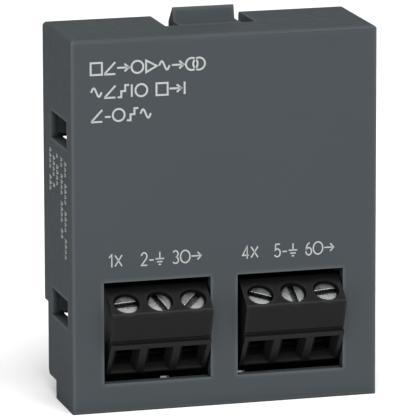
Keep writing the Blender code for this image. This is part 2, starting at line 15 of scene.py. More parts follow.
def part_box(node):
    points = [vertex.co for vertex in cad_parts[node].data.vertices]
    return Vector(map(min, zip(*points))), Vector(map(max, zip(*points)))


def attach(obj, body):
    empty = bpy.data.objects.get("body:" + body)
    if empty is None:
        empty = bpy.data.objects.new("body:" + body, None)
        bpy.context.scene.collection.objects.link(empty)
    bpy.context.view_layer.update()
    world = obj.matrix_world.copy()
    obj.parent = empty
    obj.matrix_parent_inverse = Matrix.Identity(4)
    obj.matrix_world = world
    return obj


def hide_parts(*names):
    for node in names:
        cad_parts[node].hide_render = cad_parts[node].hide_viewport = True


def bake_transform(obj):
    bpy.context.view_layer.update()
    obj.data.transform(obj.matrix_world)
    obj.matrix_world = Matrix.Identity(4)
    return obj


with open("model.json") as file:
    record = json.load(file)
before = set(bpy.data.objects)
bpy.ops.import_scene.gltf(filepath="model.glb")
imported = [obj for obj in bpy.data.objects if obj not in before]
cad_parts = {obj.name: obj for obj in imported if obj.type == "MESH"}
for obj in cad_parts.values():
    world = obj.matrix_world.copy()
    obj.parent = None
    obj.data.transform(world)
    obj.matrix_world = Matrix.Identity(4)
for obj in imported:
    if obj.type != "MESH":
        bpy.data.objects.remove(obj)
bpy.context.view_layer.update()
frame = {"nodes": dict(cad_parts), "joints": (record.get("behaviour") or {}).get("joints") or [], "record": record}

# %% [markdown]
# The real drawing of such a module measures everything from its front face,
# in millimetres.  Keeping that habit makes each number below readable, so one
# helper turns (across, deep, up) into the frame's metres.
# %% Measure from the front face
MM = 0.001
shell_low, shell_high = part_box("front_housing")
WIDTH = (shell_high.x - shell_low.x) / MM
DEPTH = (shell_high.y - shell_low.y) / MM
HEIGHT = shell_high.z / MM


def at(across, deep, up):
    """A point in metres, from millimetres right of middle, behind the front face and up."""
    return Vector((across * MM, shell_low.y + deep * MM, up * MM))


print(f"housing {WIDTH:.1f} wide, {DEPTH:.1f} deep, {HEIGHT:.1f} high, in mm")

# %% [markdown]
# The camera comes first, because it decides how fine the detail must be.  A
# long lens from more than half a metre away keeps the upright edges nearly
# parallel, which is how catalogue pictures of such parts are taken: from a
# little to the left and a little above.
# %% Camera
CAMERA_TURN = math.radians(15.54)
CAMERA_DROP = math.radians(12.43)
CAMERA_ROLL = math.radians(-0.12)
CAMERA_DISTANCE = 0.5636
CAMERA_LENS = 432.1
AIM = at(-0.09, 6.02, 20.95)

forward = Vector((math.sin(CAMERA_TURN) * math.cos(CAMERA_DROP),
                  math.cos(CAMERA_TURN) * math.cos(CAMERA_DROP),
                  -math.sin(CAMERA_DROP)))
camera_data = bpy.data.cameras.new("camera")
camera_data.lens = CAMERA_LENS
camera_data.clip_start = 0.01
camera_data.clip_end = 20.0
camera = bpy.data.objects.new("camera", camera_data)
bpy.context.scene.collection.objects.link(camera)
turn = forward.to_track_quat("-Z", "Y").to_matrix().to_4x4()
camera.matrix_world = (Matrix.Translation(AIM - forward * CAMERA_DISTANCE)
                       @ turn @ Matrix.Rotation(CAMERA_ROLL, 4, "Z"))
bpy.context.scene.camera = camera
print("camera stands at", [round(value, 3) for value in camera.location])

# %% [markdown]
# The studio is a white sweep: a floor that curves up into a backdrop, so no
# horizon shows.  One broad soft box hangs above and in front, because the
# rounded top edge of the housing is its brightest line.  Two more stand at the
# sides, so the blocks that stand proud shade the face between them; the pale
# room fills the rest.  The plain Standard view keeps the greys true.
# %% Studio
SWEEP_HALF_WIDTH = 3.0
SWEEP_FRONT = -2.0
SWEEP_BACK = 3.0
SWEEP_RADIUS = 1.0
SWEEP_HEIGHT = 4.0
ROOM_GLOW = 0.5
KEY_POWER = 33.5
KEY_SIZE = 1.5
SIDE_POWER = 3.5
SIDE_SIZE = 1.0
LIGHT_DISTANCE = 1.4
KEY_WAY = (0.0, -0.6, 0.8)
SIDE_WAY = (0.79, -0.55, 0.26)
SWEEP_WHITE = 0.88


def sweep_profile():
    """Side outline of the sweep: flat floor, quarter circle, upright backdrop."""
    outline = [(SWEEP_FRONT, 0.0), (SWEEP_BACK - SWEEP_RADIUS, 0.0)]
    for step in range(1, 17):
        turned = step / 16 * math.pi / 2
        outline.append((SWEEP_BACK - SWEEP_RADIUS + SWEEP_RADIUS * math.sin(turned),
                        SWEEP_RADIUS - SWEEP_RADIUS * math.cos(turned)))
    outline.append((SWEEP_BACK, SWEEP_HEIGHT))
    return outline


sweep_bm = bmesh.new()
rows = []
for deep, up in sweep_profile():
    rows.append([sweep_bm.verts.new((side * SWEEP_HALF_WIDTH, deep, up)) for side in (-1, 1)])
for lower, upper in zip(rows, rows[1:]):
    sweep_bm.faces.new((lower[0], lower[1], upper[1], upper[0]))
sweep_mesh = bpy.data.meshes.new("studio_sweep")
sweep_bm.to_mesh(sweep_mesh)
sweep_bm.free()
sweep_mesh.shade_smooth()
sweep = bpy.data.objects.new("studio_sweep", sweep_mesh)
bpy.context.scene.collection.objects.link(sweep)
sweep_paint = bpy.data.materials.new("sweep_white")
sweep_paint.use_nodes = True
sweep_shader = sweep_paint.node_tree.nodes["Principled BSDF"]
sweep_shader.inputs["Base Color"].default_value = (SWEEP_WHITE, SWEEP_WHITE, SWEEP_WHITE, 1.0)
sweep_shader.inputs["Roughness"].default_value = 0.95
sweep_mesh.materials.append(sweep_paint)

world = bpy.data.worlds.new("room")
bpy.context.scene.world = world
world.use_nodes = True
world.node_tree.nodes["Background"].inputs["Color"].default_value = (1.0, 1.0, 1.0, 1.0)
world.node_tree.nodes["Background"].inputs["Strength"].default_value = ROOM_GLOW


def soft_box(name, direction, distance, size, power):
    """A square area light that looks at the module from a given direction."""
    light_data = bpy.data.lights.new(name, "AREA")
    light_data.size = size
    light_data.energy = power
    light = bpy.data.objects.new(name, light_data)
    bpy.context.scene.collection.objects.link(light)
    away = Vector(direction).normalized()
    light.matrix_world = (Matrix.Translation(AIM + away * distance)
                          @ away.to_track_quat("Z", "Y").to_matrix().to_4x4())
    return light


soft_box("key_light", KEY_WAY, LIGHT_DISTANCE, KEY_SIZE, KEY_POWER)
for side in (-1, 1):
    way = (side * SIDE_WAY[0], *SIDE_WAY[1:])
    soft_box(f"side_light_{side}", way, LIGHT_DISTANCE, SIDE_SIZE, SIDE_POWER)
bpy.context.scene.view_settings.view_transform = "Standard"
bpy.context.scene.view_settings.look = "None"
print("studio ready")

# %% [markdown]
# Injection-moulded plastic is never one flat colour.  The mould is spark
# eroded, so its skin has a fine even grain; flow and handling leave slow
# changes in tone and gloss.  Three noises at three scales give the skin.
# Two short looks around each point, one inwards and one outwards, find the
# thin edges, which get a painted highlight, and the deep recesses, which get
# painted shade.
# %% Moulded plastic
def new_nodes(name):
    """A fresh node material, with its tree, its main shader and a place finder."""
    material = bpy.data.materials.new(name)
    material.use_nodes = True
    tree = material.node_tree
    shader = tree.nodes["Principled BSDF"]
    places = tree.nodes.new("ShaderNodeTexCoord")
    return material, tree, shader, places.outputs["Object"]


def add_noise(tree, places, size_mm, detail=2.0):
    """Noise whose lumps are about size_mm across."""
    noise = tree.nodes.new("ShaderNodeTexNoise")
    noise.inputs["Scale"].default_value = 1.0 / (size_mm * MM)
    noise.inputs["Detail"].default_value = detail
    tree.links.new(places, noise.inputs["Vector"])
    return noise.outputs["Fac"]


def add_range(tree, value, low, high, from_low=0.3, from_high=0.7):
    """Stretch a value from one range to another."""
    stretch = tree.nodes.new("ShaderNodeMapRange")
    stretch.inputs["From Min"].default_value = from_low
    stretch.inputs["From Max"].default_value = from_high
    stretch.inputs["To Min"].default_value = low
    stretch.inputs["To Max"].default_value = high
    tree.links.new(value, stretch.inputs["Value"])
    return stretch.outputs["Result"]


def add_mix(tree, factor, colour_a, colour_b):
    """Mix two colours, given as triples or as outputs, by a factor."""
    mix = tree.nodes.new("ShaderNodeMix")
    mix.data_type = "RGBA"
    tree.links.new(factor, mix.inputs["Factor"])
    for socket, colour in ((mix.inputs[6], colour_a), (mix.inputs[7], colour_b)):
        if isinstance(colour, tuple):
            socket.default_value = (*colour, 1.0)
        else:
            tree.links.new(colour, socket)
    return mix.outputs[2]


def add_bump(tree, shader, height, depth_mm, strength=1.0):
    """Let a height roughen the surface by depth_mm."""
    bump = tree.nodes.new("ShaderNodeBump")
    bump.inputs["Strength"].default_value = strength
    bump.inputs["Distance"].default_value = depth_mm * MM
    tree.links.new(height, bump.inputs["Height"])
    tree.links.new(bump.outputs["Normal"], shader.inputs["Normal"])


def add_convexity(tree, reach_mm=0.5):
    """From 0 on flat faces to 1 on outer edges, where the material behind is thin."""
    backing = tree.nodes.new("ShaderNodeAmbientOcclusion")
    backing.samples = 8
    backing.inside = True
    backing.only_local = True
    backing.inputs["Distance"].default_value = reach_mm * MM
    return add_range(tree, backing.outputs["AO"], 1.0, 0.0, 0.6, 0.96)


def tinted(colour, factor):
    """A colour made lighter or darker."""
    return tuple(channel * factor for channel in colour)


def add_recess_shade(tree, reach_mm, low, high):
    """Mask for painted shade: 0 deep in a recess, where shade falls, to 1 on open faces."""
    openness = tree.nodes.new("ShaderNodeAmbientOcclusion")
    openness.samples = 12
    openness.inputs["Distance"].default_value = reach_mm * MM
    return add_range(tree, openness.outputs["AO"], 0.0, 1.0, low, high)


def moulded_plastic(name, colour, roughness, grain_mm, grain_depth_mm,
                    edge_highlight=1.35, specular=0.03, recess=(4.0, 0.2, 0.62), recess_shade_tone=0.1):
    """Spark-eroded moulded plastic: slow tone changes, a painted highlight on the edges, painted shade in the
    recesses.
    """
    material, tree, shader, places = new_nodes(name)
    slow = add_noise(tree, places, 9.0, 3.0)
    middle = add_noise(tree, places, 1.1, 4.0)
    grain = add_noise(tree, places, grain_mm, 2.0)
    tone = add_mix(tree, slow, tinted(colour, 0.95), tinted(colour, 1.05))
    speck = add_mix(tree, add_range(tree, grain, 0.0, 1.0), tinted(colour, 0.9), tinted(colour, 1.1))
    body = tree.nodes.new("ShaderNodeMix")
    body.data_type = "RGBA"
    body.inputs["Factor"].default_value = 0.35
    tree.links.new(tone, body.inputs[6])
    tree.links.new(speck, body.inputs[7])
    # Painted highlight: the thin outer edges are mixed towards a lighter copy of the colour.
    edge_lit = add_mix(tree, add_convexity(tree), body.outputs[2], tinted(colour, edge_highlight))
    # Painted shade: recesses darken towards a dark copy of the colour.
    recess_shaded = add_mix(tree, add_recess_shade(tree, *recess), tinted(colour, recess_shade_tone), edge_lit)
    tree.links.new(recess_shaded, shader.inputs["Base Color"])
    gloss = add_range(tree, middle, roughness - 0.05, roughness + 0.06)
    tree.links.new(gloss, shader.inputs["Roughness"])
    shader.inputs["Specular IOR Level"].default_value = specular
    add_bump(tree, shader, grain, grain_depth_mm)
    return material


housing_plastic = moulded_plastic("housing_plastic", (0.0428, 0.0494, 0.0531), 0.56, 0.11, 0.006,
                                  edge_highlight=1.5, specular=0.011)
cover_plastic = moulded_plastic("cover_plastic", (0.014, 0.015, 0.017), 0.58, 0.13, 0.006)
block_plastic = moulded_plastic("block_plastic", (0.0061, 0.0062, 0.0067), 0.42, 0.16, 0.003,
                                edge_highlight=1.6, specular=0.1, recess=(3.0, 0.2, 0.9), recess_shade_tone=0.6)
print("plastics mixed")

# %% [markdown]
# Solid pieces are modelled the way a mould maker thinks: a block, minus cores.
# Outlines are extruded with bmesh, cores are taken out with exact Booleans,
# and every remaining edge gets a hair of rounding, because no moulded edge is
# truly sharp.  Those few helpers are all that the moulded pieces need.
# %% Tools for solid pieces
def link_piece(name, bm, matrix=None, sharp=28.0):
    """Turn a bmesh into a smooth-shaded object in the scene."""
    bmesh.ops.recalc_face_normals(bm, faces=bm.faces)
    mesh = bpy.data.meshes.new(name)
    bm.to_mesh(mesh)
    bm.free()
    mesh.shade_smooth()
    mesh.set_sharp_from_angle(angle=math.radians(sharp))
    piece = bpy.data.objects.new(name, mesh)
    bpy.context.scene.collection.objects.link(piece)
    if matrix is not None:
        piece.matrix_world = matrix
    return piece


def add_box(bm, across, deep, up):
    """Add a box from three (low, high) spans measured from the front face."""
    low = at(across[0], deep[0], up[0])
    high = at(across[1], deep[1], up[1])
    scale = Matrix.Diagonal((*(high - low), 1.0))
    bmesh.ops.create_cube(bm, size=1.0, matrix=Matrix.Translation((low + high) / 2) @ scale)


def add_local_box(bm, low, high):
    """Add a box between two corners given in millimetres of a piece's own frame."""
    low = Vector(low) * MM
    high = Vector(high) * MM
    scale = Matrix.Diagonal((*(high - low), 1.0))
    bmesh.ops.create_cube(bm, size=1.0, matrix=Matrix.Translation((low + high) / 2) @ scale)


def add_prism(bm, corners, step):
    """Extrude a closed outline of points by a step."""
    face = bm.faces.new([bm.verts.new(corner) for corner in corners])
    moved = bmesh.ops.extrude_face_region(bm, geom=[face])["geom"]
    moved = [item for item in moved if isinstance(item, bmesh.types.BMVert)]
    bmesh.ops.translate(bm, verts=moved, vec=Vector(step))


def add_side_prism(bm, outline, half_width, centre=0.0):
    """Extrude a (deep, up) outline sideways about a middle."""
    corners = [at(centre - half_width, deep, up) for deep, up in outline]
    add_prism(bm, corners, (2 * half_width * MM, 0, 0))


def add_disc(bm, radius, low, high, segments=48, small_radius=None):
    """Add a disc or cone along local z, in millimetres."""
    narrow = radius if small_radius is None else small_radius
    bmesh.ops.create_cone(bm, cap_ends=True, segments=segments, radius1=narrow * MM,
                          radius2=radius * MM, depth=(high - low) * MM,
                          matrix=Matrix.Translation((0, 0, (high + low) / 2 * MM)))


def round_edges(bm, test, radius, segments):
    """Round the edges of which both ends pass a test."""
    edges = [edge for edge in bm.edges if all(test(vert.co) for vert in edge.verts)]
    bmesh.ops.bevel(bm, geom=edges, offset=radius * MM, segments=segments, profile=0.5,
                    affect="EDGES", clamp_overlap=True)


def apply_modifiers(piece):
    """Replace a piece's mesh with the one its modifiers give."""
    graph = bpy.context.evaluated_depsgraph_get()
    mesh = bpy.data.meshes.new_from_object(piece.evaluated_get(graph))
    piece.modifiers.clear()
    piece.data = mesh


def settle(piece, sharp=28.0):
    """Apply a piece's modifiers and set its shading."""
    apply_modifiers(piece)
    piece.data.shade_smooth()
    piece.data.set_sharp_from_angle(angle=math.radians(sharp))


def combine(piece, tool_bm, operation, tool_matrix=None):
    """Cut or join with an exact Boolean, applied at once, and drop the tool."""
    tool = link_piece("tool", tool_bm, tool_matrix)
    boolean = piece.modifiers.new("combine", "BOOLEAN")
    boolean.operation = operation
    boolean.solver = "EXACT"
    boolean.object = tool
    settle(piece)
    bpy.data.objects.remove(tool, do_unlink=True)


def soften(piece, radius, segments=2, angle=34.0):
    """Give all remaining edges a small even rounding and clean shading."""
    bevel = piece.modifiers.new("soften", "BEVEL")
    bevel.width = radius * MM
    bevel.segments = segments
    bevel.limit_method = "ANGLE"
    bevel.angle_limit = math.radians(angle)
    bevel.use_clamp_overlap = True
    settle(piece, 60.0)
    weigh = piece.modifiers.new("weigh", "WEIGHTED_NORMAL")
    weigh.mode = "FACE_AREA"
    weigh.weight = 100
    weigh.keep_sharp = True
    apply_modifiers(piece)


def finish_piece(piece, body, slot, material, *replaced):
    """Give a piece its finish and its body and hide the sub-part it stands for; the slot argument is not used."""
    piece.data.materials.clear()
    piece.data.materials.append(material)
    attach(piece, body)
    if replaced:
        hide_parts(*replaced)
    print(f"{piece.name}: {len(piece.data.polygons)} faces")
    return piece


# %% [markdown]
# The housing is one thin-walled moulding.  From the side its back steps in
# twice towards the foot; its front edges are rounded like a soap bar's, its
# other edges far less.  Windows for the terminals, snap holes and the two
# slots that free the latch are cores taken out of the block.
# %% Housing shell
WALL = 1.4
FRONT_WALL = 1.2
FLOOR_WALL = 1.5
TOP_WALL = 1.2
FRONT_ROUND = 0.6
SIDE_ROUND = 0.45
FOOT_DEEP = 7.85
FOOT_UP = 2.1
SKIRT_DEEP = 11.35
SKIRT_UP = 10.4
SKIRT_CHAMFER = 0.4
WINDOW_MIDDLES = (-7.81, 7.52)
WINDOW_WIDTH = 12.24
WINDOW_SPAN = (3.28, 14.8)
SNAP_SPAN = (2.2, 9.35)
SNAP_LOWS = (29.6, 9.35)
SNAP_TALL = 3.1
LATCH_HALF = 3.55
LATCH_SLOT = 1.6
LATCH_ROOT = 6.0


def shell_outline():
    """Side outline of the housing."""
    return [(0.0, 0.0), (FOOT_DEEP, 0.0), (FOOT_DEEP, FOOT_UP),
            (SKIRT_DEEP - SKIRT_CHAMFER, FOOT_UP), (SKIRT_DEEP, FOOT_UP + SKIRT_CHAMFER),
            (SKIRT_DEEP, SKIRT_UP), (DEPTH, SKIRT_UP), (DEPTH, HEIGHT), (0.0, HEIGHT)]


def make_shell():
    """The housing: a rounded block minus its cores."""
    bm = bmesh.new()
    add_side_prism(bm, shell_outline(), WIDTH / 2)
    roof = shell_high.z - 1e-6
    flank = shell_high.x - 1e-6
    face = shell_low.y + 1e-6
    round_edges(bm, lambda co: co.z > roof and abs(co.x) > flank, SIDE_ROUND, 6)
    round_edges(bm, lambda co: co.y < face, FRONT_ROUND, 8)
    shell = link_piece("housing_shell", bm)
    inside = WIDTH / 2 - WALL
    hollow = bmesh.new()
    add_box(hollow, (-inside, inside), (FRONT_WALL, DEPTH + 2), (FLOOR_WALL, HEIGHT - TOP_WALL))
    combine(shell, hollow, "DIFFERENCE")
    cores = bmesh.new()
    for side in (-1, 1):
        middle = WINDOW_MIDDLES[side > 0]
        add_box(cores, (middle - WINDOW_WIDTH / 2, middle + WINDOW_WIDTH / 2),
                (-2, FRONT_WALL + 1), WINDOW_SPAN)
        for low in SNAP_LOWS:
            add_box(cores, sorted((side * (inside - 1), side * (WIDTH / 2 + 1))),
                    SNAP_SPAN, (low, low + SNAP_TALL))
    reach = LATCH_HALF + LATCH_SLOT
    add_box(cores, (-reach, reach), (LATCH_ROOT, DEPTH + 1), (HEIGHT - TOP_WALL - 1, HEIGHT + 1))
    combine(shell, cores, "DIFFERENCE")
    soften(shell, 0.09)
    return shell


shell = finish_piece(make_shell(), "module", "housing_grey", housing_plastic, "front_housing")

# %% [markdown]
# The latch is a tongue of the same plastic, moulded in one with the top wall.
# It has to bend when it is pressed, so the piece starts inside the wall and
# the stretch next to its root is cut into slices, where the plastic would curve.
# %% Latch tongue
LATCH_START = LATCH_ROOT - 0.02
LATCH_END = 10.85
LATCH_THICK = 1.2
HOOK_FOOT = 8.7
HOOK_DEEP = 9.05
HOOK_RISE = 1.5
BEND_LENGTH = 1.6
BEND_SLICES = 8


def make_latch():
    """The tongue with its wedge hook, sliced across near its root, where it would bend."""
    top = HEIGHT
    bm = bmesh.new()
    add_side_prism(bm, [
        (LATCH_START, top - LATCH_THICK),
        (LATCH_END, top - LATCH_THICK),
        (LATCH_END, top - 0.3),
        (HOOK_DEEP + 0.15, top + HOOK_RISE),
        (HOOK_DEEP, top + HOOK_RISE),
        (HOOK_FOOT, top),
        (LATCH_START, top),
    ], LATCH_HALF)
    root = at(0, LATCH_ROOT + 0.05, 0).y
    edges = [edge for edge in bm.edges if max(vert.co.y for vert in edge.verts) > root]
    bmesh.ops.bevel(bm, geom=edges, offset=0.08 * MM, segments=3, profile=0.5,
                    affect="EDGES", clamp_overlap=True)
    for step in range(1, BEND_SLICES + 1):
        cut_place = at(0, LATCH_ROOT + step * BEND_LENGTH / BEND_SLICES, 0)
        bmesh.ops.bisect_plane(bm, geom=bm.verts[:] + bm.edges[:] + bm.faces[:],
                               plane_co=cut_place, plane_no=(0, 1, 0), dist=1e-7)
    return link_piece("latch_spring", bm, sharp=50.0)


latch = make_latch()
latch.data.materials.append(housing_plastic)
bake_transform(latch)
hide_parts("latch_tongue")
print(f"{latch.name}: {len(latch.data.polygons)} faces")

# %% [markdown]
# Each terminal works in its own leaning frame: the screw's axis is local z and
# the wire goes in along local y.  The joints of the model already hold that
# axis, so the frames are read from there and every core below is a plain
# shape in plain millimetres.
# %% Terminal frames
joints = {joint["name"]: joint for joint in frame["joints"]}
WAYS = range(1, 7)


def terminal_frame(number):
    """Frame of one terminal: local z out of the screw face, local x to the right."""
    joint = joints[f"screw_turn_{number}"]
    outward = -Vector(joint["axis"])
    across = Vector((1.0, 0.0, 0.0))
    along_wire = outward.cross(across)
    axes = Matrix((across, along_wire, outward)).transposed().to_4x4()
    return Matrix.Translation(Vector(joint["pos_m"])) @ axes


lean = math.degrees(math.acos(terminal_frame(1).col[2].z))
print(f"screws lean {lean:.1f} degrees forward")

# %% [markdown]
# A terminal block is a black polyamide moulding: a slanted face with a round
# well for each screw head, a plain front, a shallow groove, and below it a
# face that leans back with a square funnel for each wire.  The funnel guides
# the strands into the cage, so its four walls taper.
# %% Terminal blocks
BLOCK_MIDDLE = 7.69
BLOCK_HALF = 5.775
BLOCK_BACK = 7.9
BLOCK_FLOOR = 4.0
RIDGE = (-2.07, 11.51)
RIDGE_ROUND = 0.45
SCREW_TO_RIDGE = 1.82
SCREW_FACE = 4.18
FRONT_FOOT = (-1.05, 8.35)
GROOVE = ((-0.75, 8.22), (-0.75, 8.0))
WIRE_FACE = 3.31
WIRE_FACE_TOP = 3.86
FUNNEL_OUTER = (1.5, -7.9, -4.09)
FUNNEL_INNER = (1.0, -7.7, -4.2)
FUNNEL_LONG = 0.8
WIRE_BORE = (0.95, -7.5, -4.4)
CAGE_ROOM = ((-1.55, -1.5, -7.7), (1.55, 1.5, -1.75))
TAIL_ROOM = (0.95, 0.55)
BAR_HALF = 0.225
WELL_RADIUS = 1.49
WELL_SPARE = 0.12
NECK = (1.1, -2.6, -0.6)
BORE_END = -1.2
TAIL_FRONT = 2.8
HEAD_SINK = 0.33
HEAD_THICK = 0.95


def in_terminal(inwards, wirewards):
    """(deep, up) of a point given by its depth below the screw face and along the wire."""
    place = terminal_frame(1) @ Vector((0, wirewards * MM, -inwards * MM))
    return (place.y - shell_low.y) / MM, place.z / MM


def block_outline():
    """Side outline of a terminal block, with its ridge rounded."""
    brow = in_terminal(WIRE_FACE_TOP, -WIRE_FACE)
    floor_in = WIRE_FACE_TOP + (brow[1] - BLOCK_FLOOR) / terminal_frame(1).col[2].z
    shoulder = in_terminal(0.0, SCREW_FACE - SCREW_TO_RIDGE)
    return rounded(shoulder, RIDGE, FRONT_FOOT, RIDGE_ROUND) + [
        FRONT_FOOT, *GROOVE, (brow[0] - 0.12, brow[1] + 0.36), brow,
        in_terminal(floor_in, -WIRE_FACE), (BLOCK_BACK, BLOCK_FLOOR),
        (BLOCK_BACK, shoulder[1]), shoulder]


def rounded(before, corner, after, radius, steps=8):
    """Points of the arc that rounds a corner between two straight edges."""
    corner = Vector(corner)
    first = (Vector(before) - corner).normalized()
    second = (Vector(after) - corner).normalized()
    half_angle = first.angle(second) / 2
    centre = corner + (first + second).normalized() * radius / math.sin(half_angle)
    reach = radius / math.tan(half_angle)
    start = corner + first * reach - centre
    end = corner + second * reach - centre
    spokes = [start.lerp(end, step / steps).normalized() for step in range(steps + 1)]
    return [tuple(centre + spoke * radius) for spoke in spokes]


def add_funnel(bm, outer, inner, front, back):
    """A four-sided funnel along local y between two (half width, low, high) mouths."""
    rings = []
    for (half, low, high), deep in ((outer, front), (inner, back)):
        corners = ((-half, low), (half, low), (half, high), (-half, high))
        rings.append([bm.verts.new(Vector((x, deep, z)) * MM) for x, z in corners])
    bm.faces.new(rings[0])
    bm.faces.new(rings[1][::-1])
    for index in range(4):
        after = (index + 1) % 4
        bm.faces.new((rings[0][index], rings[1][index], rings[1][after], rings[0][after]))


def make_block(name, middle, numbers):
    """One three-way terminal block."""
    bm = bmesh.new()
    add_side_prism(bm, block_outline(), BLOCK_HALF, middle)
    block = link_piece(name, bm)
    for number in numbers:
        place = terminal_frame(number)
        x = place.translation.x / MM
        well = bmesh.new()
        add_disc(well, WELL_RADIUS, -HEAD_SINK - HEAD_THICK - WELL_SPARE, 1.0)
        combine(block, well, "DIFFERENCE", place)
        cage_room = bmesh.new()
        add_local_box(cage_room, *CAGE_ROOM)
        combine(block, cage_room, "DIFFERENCE", place)
        neck = bmesh.new()
        add_disc(neck, *NECK, 32)
        combine(block, neck, "DIFFERENCE", place)
        funnel = bmesh.new()
        funnel_end = -WIRE_FACE + FUNNEL_LONG
        add_funnel(funnel, FUNNEL_OUTER, FUNNEL_INNER, -WIRE_FACE - 0.02, funnel_end)
        combine(block, funnel, "DIFFERENCE", place)
        bore = bmesh.new()
        half, low, high = WIRE_BORE
        add_local_box(bore, (-half, funnel_end - 0.1, low), (half, BORE_END, high))
        combine(block, bore, "DIFFERENCE", place)
        half, rise = TAIL_ROOM
        tail_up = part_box("current_bar_1")[1].z / MM - BAR_HALF
        tail_room = bmesh.new()
        add_box(tail_room, (x - half, x + half), (TAIL_FRONT, BLOCK_BACK + 1),
                (tail_up - rise, tail_up + rise))
        combine(block, tail_room, "DIFFERENCE")
    soften(block, 0.07)
    return block


for name, middle, numbers in (("terminal_housing_left", -BLOCK_MIDDLE, (1, 2, 3)),
                              ("terminal_housing_right", BLOCK_MIDDLE, (4, 5, 6))):
    block = make_block(name, middle, numbers)
    finish_piece(block, "module", "block_black", block_plastic,
                 name.replace("terminal_housing", "terminal_block"))

# %% [markdown]
# Zinc-plated steel is bright but never a mirror: turning leaves fine rings on
# the head, the plating mottles, and the screwdriver scuffs it.  The rings are
# a real function of the distance from the axis, which works because each
# screw keeps its own frame.
# %% Plated metals
SCUFF_MM = 0.09
RING_MM = 0.09
RING_SHARE = 0.25


def plated_metal(name, colour, roughness, rings=False, mottle_mm=0.5, dirt=0.6,
                 recess=(3.0, 0.15, 0.75), relief_mm=0.006):
    """Plated metal with mottling, scuffs, painted shade in its recesses and, if asked, turning rings about local
    z.
    """
    material, tree, shader, places = new_nodes(name)
    mottle = add_noise(tree, places, mottle_mm, 4.0)
    scuff = add_noise(tree, places, SCUFF_MM, 3.0)
    tone = add_mix(tree, add_range(tree, mottle, 0.0, 1.0), tinted(colour, dirt), colour)
    # Painted shade: recesses, such as screw slots and cages deep in the block, darken almost to black.
    recess_shaded = add_mix(tree, add_recess_shade(tree, *recess), tinted(colour, 0.05), tone)
    tree.links.new(recess_shaded, shader.inputs["Base Color"])
    shader.inputs["Metallic"].default_value = 1.0
    gloss = add_range(tree, mottle, roughness + 0.1, roughness - 0.04)
    tree.links.new(gloss, shader.inputs["Roughness"])
    height = scuff
    if rings:
        axis_only = tree.nodes.new("ShaderNodeVectorMath")
        axis_only.operation = "MULTIPLY"
        axis_only.inputs[1].default_value = (1.0, 1.0, 0.0)
        tree.links.new(places, axis_only.inputs[0])
        radius = tree.nodes.new("ShaderNodeVectorMath")
        radius.operation = "LENGTH"
        tree.links.new(axis_only.outputs[0], radius.inputs[0])
        turns = tree.nodes.new("ShaderNodeMath")
        turns.operation = "MULTIPLY"
        turns.inputs[1].default_value = math.tau / (RING_MM * MM)
        tree.links.new(radius.outputs["Value"], turns.inputs[0])
        wave = tree.nodes.new("ShaderNodeMath")
        wave.operation = "SINE"
        tree.links.new(turns.outputs[0], wave.inputs[0])
        both = tree.nodes.new("ShaderNodeMath")
        both.operation = "MULTIPLY_ADD"
        both.inputs[1].default_value = RING_SHARE
        tree.links.new(wave.outputs[0], both.inputs[0])
        tree.links.new(scuff, both.inputs[2])
        height = both.outputs[0]
    add_bump(tree, shader, height, relief_mm)
    return material


screw_zinc = plated_metal("screw_zinc", (0.38, 0.39, 0.385), 0.26, rings=True, mottle_mm=0.9, dirt=0.85,
                          recess=(0.8, 0.42, 0.88), relief_mm=0.0015)
cage_zinc = plated_metal("cage_zinc", (0.5, 0.48, 0.44), 0.42, recess=(4.0, 0.6, 1.0))
bar_tin = plated_metal("bar_tin", (0.6, 0.59, 0.57), 0.36, recess=(4.0, 0.6, 1.0))
contact_gold = plated_metal("contact_gold", (0.9, 0.66, 0.3), 0.24, dirt=0.8)
can_metal = plated_metal("can_metal", (0.75, 0.76, 0.77), 0.28, dirt=0.85)
print("metals plated")

# %% [markdown]
# The screws are the brightest things on the module, so they get real shape:
# a slightly crowned head with a turned chamfer, a slot with broken edges and
# a thread cut by a helix.  The profile is spun about the axis; the thread is
# a swept ridge that follows a rising spiral.
# %% Screws
HEAD_RADIUS = 1.41
CROWN = 0.05
CROWN_EDGE = 0.96
SHANK_RADIUS = 0.78
THREAD_RADIUS = 0.85
THREAD_PITCH = 0.4
THREAD_TURNS = 4.5
THREAD_HALF = 0.15
TURN_STEPS = 24
SCREW_END = 3.95
SLOT_WIDE = 0.68
SLOT_DEEP = 0.55
SLOT_TURNS = (4.0, -67.0, 45.0, -24.0, -86.0, 5.0)


def head_profile():
    """Half section of the head and shank, from the crown to the tip."""
    crown = [(HEAD_RADIUS * CROWN_EDGE * step / 6, -HEAD_SINK - CROWN * (step / 6) ** 2)
             for step in range(7)]
    rim = [(HEAD_RADIUS - 0.02, -HEAD_SINK - CROWN - 0.03), (HEAD_RADIUS, -HEAD_SINK - CROWN - 0.1),
           (HEAD_RADIUS, -HEAD_SINK - HEAD_THICK + 0.05),
           (HEAD_RADIUS - 0.05, -HEAD_SINK - HEAD_THICK)]
    shank = [(SHANK_RADIUS, -HEAD_SINK - HEAD_THICK), (SHANK_RADIUS, -SCREW_END + 0.2),
             (SHANK_RADIUS - 0.2, -SCREW_END), (0.0, -SCREW_END)]
    return crown + rim + shank


def add_thread(bm):
    """A triangular ridge that climbs the shank by one pitch each turn."""
    low = -SCREW_END + 0.3
    steps = int(THREAD_TURNS * TURN_STEPS)
    root = SHANK_RADIUS - 0.05
    rings = []
    for step in range(steps + 1):
        angle = step / TURN_STEPS * math.tau
        up = low + step / TURN_STEPS * THREAD_PITCH
        fade = min(1.0, step / 12, (steps - step) / 12)
        tip = SHANK_RADIUS - 0.01 + (THREAD_RADIUS - SHANK_RADIUS + 0.01) * fade
        corners = ((root, up - THREAD_HALF), (tip, up), (root, up + THREAD_HALF))
        rings.append([bm.verts.new(Vector((radius * math.cos(angle), radius * math.sin(angle), z)) * MM)
                      for radius, z in corners])
    for before, after in zip(rings, rings[1:]):
        for index in range(3):
            following = (index + 1) % 3
            bm.faces.new((before[index], after[index], after[following], before[following]))
    bm.faces.new(rings[0])
    bm.faces.new(rings[-1][::-1])


